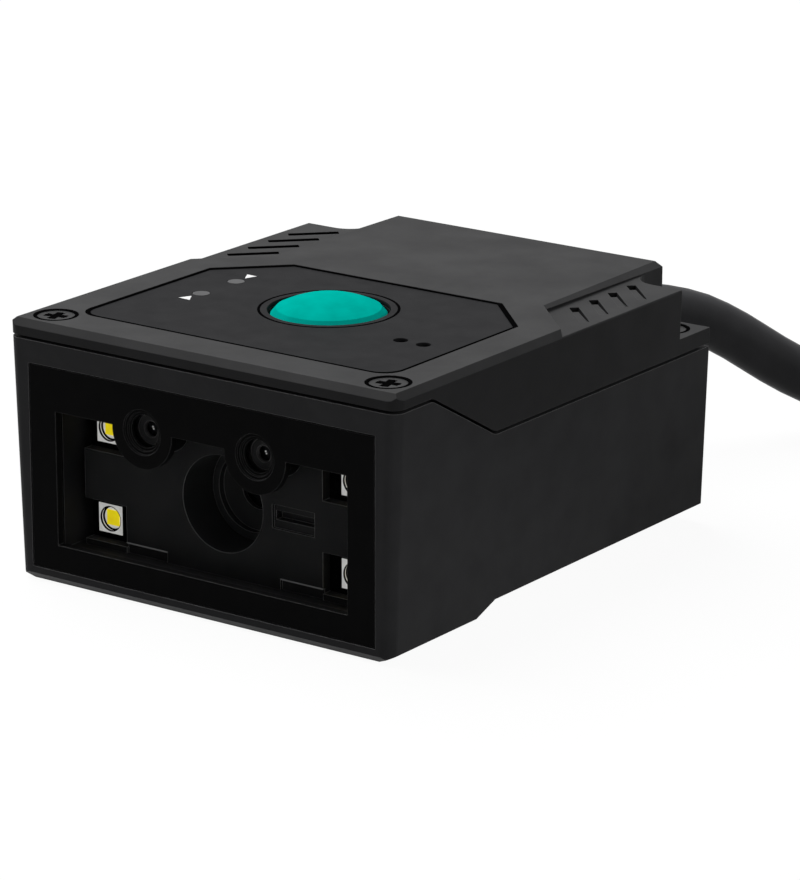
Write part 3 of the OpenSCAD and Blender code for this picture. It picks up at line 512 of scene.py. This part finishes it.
def make_cable():
    points = cable_points()
    data = bpy.data.curves.new("cable", "CURVE")
    data.dimensions = "3D"
    data.bevel_depth = CABLE_D / 2 * MM
    data.bevel_resolution = CABLE_ROUNDNESS
    data.use_fill_caps = True
    spline = data.splines.new("POLY")
    spline.points.add(len(points) - 1)
    for holder, p in zip(spline.points, points):
        holder.co = (*(p * MM), 1)
    spline.use_smooth = True
    data.materials.append(M["cable"])
    obj = bpy.data.objects.new("cable", data)
    link(obj, replaces=("cable_lead", "cable_coil", "cable_tail"))
    return obj, points


cable, cable_route = make_cable()


# Strap around the coil

# Angles of the strap's two edges, its thickness and its clearance to the turns
STRAP_FROM, STRAP_TO = 38, 52
STRAP_T = 0.56
STRAP_CLEARANCE = 0.01
# Steps across the strap, the length of a step along it, and how far its end laps over its start
STRAP_ACROSS = 6
STRAP_STEP = 0.8
STRAP_OVERLAP = 14
# Length over which the end climbs onto the start, and the gap between them
STRAP_CLIMB, STRAP_LAP_GAP = 3, 0.04
# Where the strap starts: high up, and by this share towards the coil's middle
STRAP_START_LEAN = 0.3
# Degrees between the points around a turn
STRAP_ANGLE = 10
STRAP_SHARP = 50
# Radius and height of the turns that the strap goes round, one of which is on its way up there
STRAP_TURNS = [
    (OUTER_R, LAYER_Z[0]), (INNER_R, LAYER_Z[0]), (INNER_R, LAYER_Z[1]), (OUTER_R, 11.5),
    (MIDDLE_R, LAYER_Z[2]),
]


def hull(points):
    """Convex outline of points, anticlockwise."""
    points = sorted(set(points))

    def half(order):
        made = []
        for q in order:
            while len(made) > 1 and (
                (made[-1][0] - made[-2][0]) * (q[1] - made[-2][1])
                <= (made[-1][1] - made[-2][1]) * (q[0] - made[-2][0])
            ):
                made.pop()
            made.append(q)
        return made[:-1]

    return half(points) + half(points[::-1])


def strap_path():
    """Middle line of the strap's section, which ends lying on its own start."""
    reach = CABLE_D / 2 + STRAP_T / 2 + STRAP_CLEARANCE
    ring = [(r + reach * math.cos(t), z + reach * math.sin(t))
            for r, z in STRAP_TURNS for t in map(math.radians, range(0, 360, STRAP_ANGLE))]
    loop = [Vector(q) for q in hull(ring)]
    first = max(range(len(loop)), key=lambda k: loop[k].y - STRAP_START_LEAN * loop[k].x)
    loop = loop[first:] + loop[:first + 1]
    lengths = [0.0]
    for a, b in zip(loop, loop[1:]):
        lengths.append(lengths[-1] + (b - a).length)
    whole = lengths[-1]

    def at(d):
        d = d % whole
        k = max(i for i in range(len(loop) - 1) if lengths[i] <= d)
        a, b = loop[k], loop[k + 1]
        return a + (b - a) * ((d - lengths[k]) / (lengths[k + 1] - lengths[k]))

    made = []
    for i in range(int((whole + STRAP_OVERLAP) / STRAP_STEP) + 1):
        d = i * STRAP_STEP
        ahead, back = at(d + STRAP_STEP / 2), at(d - STRAP_STEP / 2)
        out = Vector((ahead.y - back.y, back.x - ahead.x)).normalized()
        climbed = min(1.0, max(0.0, (d - whole + STRAP_CLIMB) / STRAP_CLIMB))
        made.append((at(d) + out * climbed * (STRAP_T + STRAP_LAP_GAP), out))
    return made


def make_strap():
    bm = bmesh.new()
    rings = []
    angles = [STRAP_FROM + (STRAP_TO - STRAP_FROM) * i / STRAP_ACROSS for i in range(STRAP_ACROSS + 1)]
    for middle, out in strap_path():
        inner, outer = middle - out * STRAP_T / 2, middle + out * STRAP_T / 2
        ring = [polar(t, inner.x, inner.y) for t in angles]
        ring += [polar(t, outer.x, outer.y) for t in reversed(angles)]
        rings.append([q * MM for q in ring])
    loft(bm, rings)
    obj = mesh_piece("strap", bm, M["strap"])
    sharp_by_angle(obj, STRAP_SHARP)
    return link(obj, replaces=("coil_tie",))


strap = make_strap()


# Plug on the end of the cable

PLUG_GAP = 0.3
PLUG_W, PLUG_H = 14.6, 7.6
# Distance along the plug, and the share of its full width and height there
PLUG_SHAPE = [
    (0, 0.66, 0.90), (0.25, 0.72, 0.95), (0.8, 0.76, 0.985), (1.6, 0.79, 1.0), (4, 0.87, 1.0),
    (6, 0.94, 1.0), (8, 0.98, 1.0), (22.6, 1.0, 1.0), (23.4, 0.985, 0.97), (23.85, 0.955, 0.92),
    (24, 0.92, 0.87),
]
# Finer sections along the plug's middle: the first one, their distance and their number
PLUG_FINE_FROM, PLUG_FINE_STEP, PLUG_FINE_COUNT = 2, 0.2, 104
PLUG_POWER, PLUG_SIDES, PLUG_SHARP = 4.5, 48, 55
# The grip's grooves along the plug
GRIP_FROM, GRIP_TO, GRIP_PITCH, GRIP_DEPTH = 9.0, 18.5, 1.6, 0.28
# The sleeve: its length, the radii of its ends, how far it goes into the plug, and its grooves
SLEEVE_L, SLEEVE_R, SLEEVE_END_R, SLEEVE_SINK = 11.0, 4.0, 3.35, 0.5
SLEEVE_FROM, SLEEVE_PITCH, SLEEVE_GROOVES, SLEEVE_GROOVE = 2.0, 2.2, 4, 0.3
SLEEVE_STEPS, SLEEVE_SIDES, SLEEVE_SHARP = 56, 32, 50
# Number of the cable's last points that the sleeve lies on
SLEEVE_ROUTE = 8


def between(table, x):
    """Row of a table of numbers at a place between its rows."""
    for low, high in zip(table, table[1:]):
        if x <= high[0]:
            t = (x - low[0]) / (high[0] - low[0])
            return [a + (b - a) * t for a, b in zip(low[1:], high[1:])]
    return list(table[-1][1:])


def plug_frame():
    """Place of the plug's rear end, the way along the plug and the way across it."""
    end = cable_route[-1]
    along = end - cable_route[-2]
    along.z = 0
    along.normalize()
    across = Vector((0, 0, 1)).cross(along)
    return end + along * PLUG_GAP, along, across


def groove(x, first, last, pitch, depth):
    """Depth of a row of rounded grooves at a place along it."""
    if not first <= x <= last:
        return 0.0
    return depth * (0.5 - 0.5 * math.cos(2 * math.pi * (x - first) / pitch)) ** 2


def make_plug():
    start, along, across = plug_frame()
    bm = bmesh.new()
    fine = {PLUG_FINE_FROM + PLUG_FINE_STEP * i for i in range(PLUG_FINE_COUNT)}
    rings = []
    for x in sorted({row[0] for row in PLUG_SHAPE} | fine):
        wide, high = between(PLUG_SHAPE, x)
        cut = groove(x, GRIP_FROM, GRIP_TO, GRIP_PITCH, GRIP_DEPTH)
        section = superellipse(PLUG_W / 2 * wide - cut, PLUG_H / 2 * high - cut, PLUG_POWER, PLUG_SIDES)
        rings.append([(start + along * x + across * a + Vector((0, 0, b))) * MM for a, b in section])
    loft(bm, rings)
    obj = mesh_piece("plug_overmould", bm, M["plug"])
    sharp_by_angle(obj, PLUG_SHARP)
    return link(obj, replaces=("plug_body",))


def make_sleeve():
    """Ribbed sleeve on the last stretch of the cable, up to the plug."""
    _, along, _ = plug_frame()
    route = list(reversed(cable_route[-SLEEVE_ROUTE:]))
    bm = bmesh.new()
    rings = []
    for i in range(SLEEVE_STEPS + 1):
        d = SLEEVE_L * i / SLEEVE_STEPS
        left = d
        for a, b in zip(route, route[1:]):
            span = (b - a).length
            if left <= span:
                at, heading = a + (b - a) * (left / span), (b - a).normalized()
                break
            left -= span
        side = heading.cross(Vector((0, 0, 1))).normalized()
        rise = side.cross(heading)
        radius = SLEEVE_R + (SLEEVE_END_R - SLEEVE_R) * d / SLEEVE_L
        grooves_to = SLEEVE_FROM + SLEEVE_GROOVES * SLEEVE_PITCH
        radius -= groove(d, SLEEVE_FROM, grooves_to, SLEEVE_PITCH, SLEEVE_GROOVE)
        rings.append([
            (at + (side * math.cos(t) + rise * math.sin(t)) * radius) * MM
            for t in (2 * math.pi * k / SLEEVE_SIDES for k in range(SLEEVE_SIDES))
        ])
    rings.insert(0, [q + along * SLEEVE_SINK * MM for q in rings[0]])
    loft(bm, rings)
    obj = mesh_piece("plug_sleeve", bm, M["plug"])
    sharp_by_angle(obj, SLEEVE_SHARP)
    return link(obj)


plug = make_plug()
sleeve = make_sleeve()


# Softer edges on the CAD pieces that show

# Width of the broken edges, in millimetres
SOFT_EDGES = {
    "lower_housing": 0.18, "label_panel": 0.05, "window_bezel": 0.05, "plug_shell": 0.12,
    "window_pane": 0.04,
}
SOFT_ANGLE, SOFT_SEGMENTS = 25, 2
WELD_MM = 0.001


def soften(name, width_mm):
    """Rounds a CAD piece's edges with modifiers, so that its own mesh stays as it is."""
    obj = NODES[name]
    weld = obj.modifiers.new("weld", "WELD")
    weld.merge_threshold = WELD_MM * MM
    bevel = obj.modifiers.new("bevel", "BEVEL")
    bevel.limit_method = "ANGLE"
    bevel.angle_limit = math.radians(SOFT_ANGLE)
    bevel.width = width_mm * MM
    bevel.segments = SOFT_SEGMENTS
    bevel.harden_normals = True
    bevel.miter_outer = "MITER_ARC"


for node_name, width in SOFT_EDGES.items():
    soften(node_name, width)


# Small parts behind the window: irises, painted glints, frames of painted shade around the light packages,
# and painted highlights on the ledges

# The aimers: their place, and their lens's depth behind the barrel's front
AIMER_X, AIMER_Y, AIMER_Z = 7.4, -28.2, 19.0
LENS_DEPTH = 0.47
# Radius and depth behind the barrel's front, around the iris's section
IRIS = [(1.68, 0.05), (0.92, 0.05), (0.8, 0.17), (0.8, 0.45), (1.17, 0.45), (1.17, 0.33)]
IRIS_SHARP = 30
# The painted glints: place across and up from the lens's middle, and radius
GLINTS = [(-0.08, 0.15, 0.1), (0.02, -0.07, 0.09)]
GLINT_T, GLINT_EYE, GLINT_STEPS = 0.02, 0.01, 16
# The light packages: their place, half their width and their thickness
LED_X, LED_Y, LED_ZS = 16.15, -24.48, (6.55, 16.59)
LED_HALF, LED_T = 1.6, 0.8
# Inner and outer radius and depths of the dark bands of painted shade in a light package's cup
LED_BANDS = [(1.34, 1.42, -0.01, 0.2), (1.2, 1.42, 0.4, 0.49)]
# The frame of painted shade around a package, near black in its pocket: its gap, its reach towards the
# reader's middle, away from it, and up and down, and how far it keeps from the package's front and back
FRAME_GAP, FRAME_IN, FRAME_OUT, FRAME_UP, FRAME_SEAT = 0.02, 3.1, 2.4, 2.2, 0.01
# The painted highlights on the ledges on the engine's front: their ends, height, half width, and reach
# outwards and inwards
ENGINE_Y = -25.65
LEDGE_FROM, LEDGE_TO, LEDGE_Z, LEDGE_HALF = 7.5, 13.0, 4.8, 0.07
LEDGE_OUT, LEDGE_IN = 0.03, 0.1


def turned(bm, profile, x, y, z, steps=48):
    """Ring with a closed section of radius and depth, about an axis along Y."""
    rings = []
    for i in range(steps):
        t = 2 * math.pi * i / steps
        rings.append([bm.verts.new(Vector((x + r * math.cos(t), y + d, z + r * math.sin(t))) * MM)
                      for r, d in profile])
    loop_of_rings(bm, rings)


def block(bm, low, high):
    """Box between two corners, in millimetres."""
    made = bmesh.ops.create_cube(bm, size=1)["verts"]
    for vert in made:
        vert.co = Vector([(a if c < 0 else b) * MM for a, b, c in zip(low, high, vert.co)])


def make_aimer_fronts():
    irises, glints = bmesh.new(), bmesh.new()
    for x in (-AIMER_X, AIMER_X):
        turned(irises, IRIS, x, AIMER_Y, AIMER_Z)
        for across, up, r in GLINTS:
            profile = [(GLINT_EYE, -GLINT_T), (r, 0), (r, GLINT_T), (GLINT_EYE, GLINT_T)]
            turned(glints, profile, x + across, AIMER_Y + LENS_DEPTH, AIMER_Z + up, GLINT_STEPS)
    iris = mesh_piece("aimer_irises", irises, M["iris"])
    sharp_by_angle(iris, IRIS_SHARP)
    link(iris)
    link(mesh_piece("aimer_glints", glints, M["glint"]))


def make_painted_shade_frames():
    # Near black frames and bands paint the shade in the pockets and cups of the light packages
    frames, rings = bmesh.new(), bmesh.new()
    near = LED_HALF + FRAME_GAP
    bars = [(-FRAME_IN, -near, -FRAME_UP, FRAME_UP), (near, FRAME_OUT, -FRAME_UP, FRAME_UP),
            (-near, near, -FRAME_UP, -near), (-near, near, near, FRAME_UP)]
    front, back = LED_Y + FRAME_SEAT, LED_Y + LED_T - FRAME_SEAT
    for side in (-1, 1):
        for z in LED_ZS:
            for a, b, low, high in bars:
                x0, x1 = sorted((side * (LED_X + a), side * (LED_X + b)))
                block(frames, (x0, front, z + low), (x1, back, z + high))
            for r0, r1, d0, d1 in LED_BANDS:
                turned(rings, [(r0, d0), (r1, d0), (r1, d1), (r0, d1)], side * LED_X, LED_Y, z)
    link(mesh_piece("light_frames_painted_shade", frames, M["pit"], smooth=False))
    link(mesh_piece("light_rings_painted_shade", rings, M["pit"], smooth=False))


def make_ledge_highlights():
    """Painted highlights on the upper edges of the two low recesses in the engine's front: pale glowing
    strips.
    """
    bm = bmesh.new()
    front, back = ENGINE_Y - LEDGE_OUT, ENGINE_Y + LEDGE_IN
    for x0, x1 in ((-LEDGE_TO, -LEDGE_FROM), (LEDGE_FROM, LEDGE_TO)):
        block(bm, (x0, front, LEDGE_Z - LEDGE_HALF), (x1, back, LEDGE_Z + LEDGE_HALF))
    link(mesh_piece("engine_ledge_highlights", bm, M["ledge"], smooth=False))


make_aimer_fronts()
make_painted_shade_frames()
make_ledge_highlights()


# Painted shade on the top: dark pieces in the gaps and recesses, where shade falls

PANEL_TOP, COVER_TOP, SHELF_TOP, FLANGE_TOP = 28.5, 28.6, 27.98, 22.4
ROUND_STEPS = 48
# The label panel, and the band of painted shade over its edge: how far it reaches outwards and inwards
PANEL_HALF, PANEL_FRONT, PANEL_REAR, PANEL_CUT, PANEL_R = 20.3, -24.05, 4.95, 6.6, 2.4
PANEL_CORNER_STEPS = 8
PANEL_GAP_OUT, PANEL_GAP_IN = 0.24, 0.14
# The band of painted shade around the button
BUTTON_Y = -7.05
BUTTON_GAP_OUT, BUTTON_GAP_IN = 7.63, 7.33
# The screws' places and tops, the band of painted shade around a head, and the painted shade fields on its
# cross recess
SCREWS = [(x, y, z) for x in (-21.7, 21.7) for y, z in ((-26.15, COVER_TOP), (26.05, FLANGE_TOP))]
SCREW_GAP_OUT, SCREW_GAP_IN, SCREW_GAP_DEPTH = 2.43, 2.02, 0.12
CROSS_ARM, CROSS_TIP, CROSS_REACH, CROSS_TURN, CROSS_T = 0.42, 0.336, 1.3, 20, 0.03
# How far the bands go below the panel's top, and stand above the cover or flange and above the panel
BAND_SINK, COVER_BAND_RISE, PANEL_BAND_RISE = 0.02, 0.005, 0.008
# The vent slots: the first one's inner end, their distance, number, length and half width
SLOT_X, SLOT_Y, SLOT_PITCH, SLOT_COUNT, SLOT_L, SLOT_HALF = 19.8, 10.15, 3.73, 4, 5.8, 0.525
# The dark walls of the left slots, painted shade, in depths below the shelf
WALL_T, WALL_TOP, WALL_FOOT = 0.05, 0.003, 0.6
# The sloping floors of the right slots: where they start, their depth there and at the end, how far
# they stop short of the rear wall, and their thickness
FLOOR_FROM, FLOOR_DEPTH, FLOOR_END_DEPTH, FLOOR_SHORT, FLOOR_T = 1.4, 0.12, 0.02, 0.3, 0.04


def panel_outline(grow):
    """Outline of the label panel, made larger by a distance."""
    half, front, rear = PANEL_HALF + grow, PANEL_FRONT - grow, PANEL_REAR + grow
    side = []
    for i in range(PANEL_CORNER_STEPS + 1):
        t = math.radians(-90 + 90 * i / PANEL_CORNER_STEPS)
        side.append((half - PANEL_R + PANEL_R * math.cos(t), front + PANEL_R + PANEL_R * math.sin(t)))
    side += [(half, rear - PANEL_CUT), (half - PANEL_CUT, rear)]
    return side + [(-x, y) for x, y in reversed(side)]


def circle(x, y, r):
    turns = [2 * math.pi * i / ROUND_STEPS for i in range(ROUND_STEPS)]
    return [(x + r * math.cos(t), y + r * math.sin(t)) for t in turns]


def flat_ring(bm, outer, inner, low, high):
    """Band between two outlines of the same number of points."""
    rows = [[bm.verts.new(Vector((x, y, z)) * MM) for x, y in line]
            for line, z in ((outer, low), (outer, high), (inner, high), (inner, low))]
    loop_of_rings(bm, rows)


def cross(x, y):
    """Outline of a screw's cross recess, with arms that narrow towards their tips."""
    out = []
    for i in range(4):
        t = math.radians(CROSS_TURN - 90 * i)
        for a, b in ((CROSS_ARM, CROSS_ARM), (CROSS_REACH, CROSS_TIP), (CROSS_REACH, -CROSS_TIP)):
            out.append((x + a * math.cos(t) - b * math.sin(t), y + a * math.sin(t) + b * math.cos(t)))
    return out


def slot_points(side, i, outline):
    """Places of points that are given along and across a vent slot, which lies at 45 degrees."""
    h = math.sqrt(0.5)
    return [(side * (SLOT_X + h * (a + b)), SLOT_Y + i * SLOT_PITCH + h * (b - a)) for a, b in outline]


def slot_walls():
    """Outlines of the rear wall and the inner end of a left slot, which lie in shade."""
    near, far = SLOT_HALF - WALL_T, SLOT_HALF
    return [
        [(0, near), (SLOT_L, near), (SLOT_L, far), (0, far)],
        [(0, -far), (WALL_T, -far), (WALL_T, near), (0, near)],
    ]


def make_painted_shade_gaps():
    # Near black bands, fields and walls paint the shade in the gaps and recesses
    bm = bmesh.new()
    low = PANEL_TOP - BAND_SINK
    around_panel = [panel_outline(grow) for grow in (PANEL_GAP_OUT, -PANEL_GAP_IN)]
    flat_ring(bm, *around_panel, low, COVER_TOP + COVER_BAND_RISE)
    around_button = [circle(0, BUTTON_Y, r) for r in (BUTTON_GAP_OUT, BUTTON_GAP_IN)]
    flat_ring(bm, *around_button, low, PANEL_TOP + PANEL_BAND_RISE)
    for x, y, z in SCREWS:
        floor = z - SCREW_GAP_DEPTH
        around_head = [circle(x, y, r) for r in (SCREW_GAP_OUT, SCREW_GAP_IN)]
        flat_ring(bm, *around_head, floor, z + COVER_BAND_RISE)
        prism(bm, cross(x, y), floor, floor + CROSS_T)
    for i in range(SLOT_COUNT):
        for wall in slot_walls():
            prism(bm, slot_points(-1, i, wall), SHELF_TOP - WALL_FOOT, SHELF_TOP - WALL_TOP)
    link(mesh_piece("painted_shade_gaps", bm, M["pit"], smooth=False))


def make_slot_floors():
    bm = bmesh.new()
    for i in range(SLOT_COUNT):
        ends = []
        for along, depth in ((FLOOR_FROM, FLOOR_DEPTH), (SLOT_L, FLOOR_END_DEPTH)):
            front, rear = slot_points(1, i, [(along, -SLOT_HALF), (along, SLOT_HALF - FLOOR_SHORT)])
            top = SHELF_TOP - depth
            section = [(*front, top), (*rear, top), (*rear, top - FLOOR_T), (*front, top - FLOOR_T)]
            ends.append([Vector(q) * MM for q in section])
        loft(bm, ends)
    link(mesh_piece("slot_floors", bm, M["cover"], smooth=False))


make_painted_shade_gaps()
make_slot_floors()


# Printed marks on the label panel

# How far the print goes below the panel's top and stands above it
MARK_SINK, MARK_RISE = 0.01, 0.012
MARKS = [
    [(-15.75, -12.85), (-14.18, -12.98), (-15.03, -11.55)],
    [(-14.87, -2.42), (-14.34, -0.99), (-15.68, -0.96)],
]


def make_marks():
    bm = bmesh.new()
    for mark in MARKS:
        prism(bm, mark, PANEL_TOP - MARK_SINK, PANEL_TOP + MARK_RISE)
    link(mesh_piece("panel_marks", bm, M["print"], smooth=False))


make_marks()


# Stage and light

# The floor, in metres, and its grey for the light that it throws back
STAGE_HALF, STAGE_DROP, STAGE_GREY = 6.0, 0.0002, 0.3
# What the camera sees of the floor: its white, and the share that glows and so shows no shadow
STAGE_WHITE, STAGE_GLOW_SHARE = 0.95, 0.95
WORLD_DIM = 0.12
# Name, place, aim, size and power of each lamp
LAMPS = [
    ("top_light", (-0.42, 0.08, 0.82), (0, 0, 0), 0.7, 12.0),
    ("side_light", (0.9, -0.1, 0.45), (0, 0, 0.01), 0.4, 2.1),
]


def seen_rays(nodes, links):
    """Socket that is 1 for what the camera sees, by itself, in reflections and through glass."""
    path = nodes.new("ShaderNodeLightPath")
    seen = path.outputs["Is Camera Ray"]
    for kind in ("Is Glossy Ray", "Is Transmission Ray"):
        either = nodes.new("ShaderNodeMath")
        either.operation = "MAXIMUM"
        links.new(seen, either.inputs[0])
        links.new(path.outputs[kind], either.inputs[1])
        seen = either.outputs["Value"]
    return seen


def split_seen(nodes, links, unseen, seen, output):
    """Ends a node tree with one shader for what is seen and another for all other light."""
    either = nodes.new("ShaderNodeMixShader")
    links.new(seen_rays(nodes, links), either.inputs["Fac"])
    links.new(unseen.outputs[0], either.inputs[1])
    links.new(seen.outputs[0], either.inputs[2])
    links.new(either.outputs[0], nodes.new(output).inputs["Surface"])


def stage_material():
    """White to the camera and in reflections, with a faint shadow, and plain grey to everything else."""
    mat = bpy.data.materials.new("stage")
    mat.use_nodes = True
    nodes, links = mat.node_tree.nodes, mat.node_tree.links
    nodes.clear()
    plain = nodes.new("ShaderNodeBsdfDiffuse")
    plain.inputs["Color"].default_value = (STAGE_GREY, STAGE_GREY, STAGE_GREY, 1)
    pale = nodes.new("ShaderNodeBsdfDiffuse")
    pale.inputs["Color"].default_value = (STAGE_WHITE, STAGE_WHITE, STAGE_WHITE, 1)
    glow = nodes.new("ShaderNodeEmission")
    glow.inputs["Strength"].default_value = 1.0
    mixed = nodes.new("ShaderNodeMixShader")
    mixed.inputs["Fac"].default_value = STAGE_GLOW_SHARE
    links.new(pale.outputs[0], mixed.inputs[1])
    links.new(glow.outputs[0], mixed.inputs[2])
    split_seen(nodes, links, plain, mixed, "ShaderNodeOutputMaterial")
    return mat


def make_stage():
    bm = bmesh.new()
    corners = [(-1, -1), (1, -1), (1, 1), (-1, 1)]
    bm.faces.new([bm.verts.new((x * STAGE_HALF, y * STAGE_HALF, 0)) for x, y in corners])
    floor = mesh_piece("floor", bm, stage_material(), smooth=False)
    floor.location.z = -STAGE_DROP
    bpy.context.scene.collection.objects.link(floor)


def make_world():
    """White to the camera and in reflections, and a dim even light to everything else."""
    world = bpy.data.worlds.new("world")
    bpy.context.scene.world = world
    world.use_nodes = True
    nodes, links = world.node_tree.nodes, world.node_tree.links
    nodes.clear()
    dim = nodes.new("ShaderNodeBackground")
    dim.inputs["Strength"].default_value = WORLD_DIM
    white = nodes.new("ShaderNodeBackground")
    white.inputs["Color"].default_value = (1, 1, 1, 1)
    white.inputs["Strength"].default_value = 1.0
    split_seen(nodes, links, dim, white, "ShaderNodeOutputWorld")


def make_lamp(name, at, target, size, power):
    data = bpy.data.lights.new(name, "AREA")
    data.size = size
    data.energy = power
    lamp = bpy.data.objects.new(name, data)
    lamp.location = at
    lamp.rotation_euler = (Vector(target) - Vector(at)).to_track_quat("-Z", "Y").to_euler()
    bpy.context.scene.collection.objects.link(lamp)


bpy.context.scene.view_settings.view_transform = "Standard"
make_stage()
make_world()
for lamp_values in LAMPS:
    make_lamp(*lamp_values)
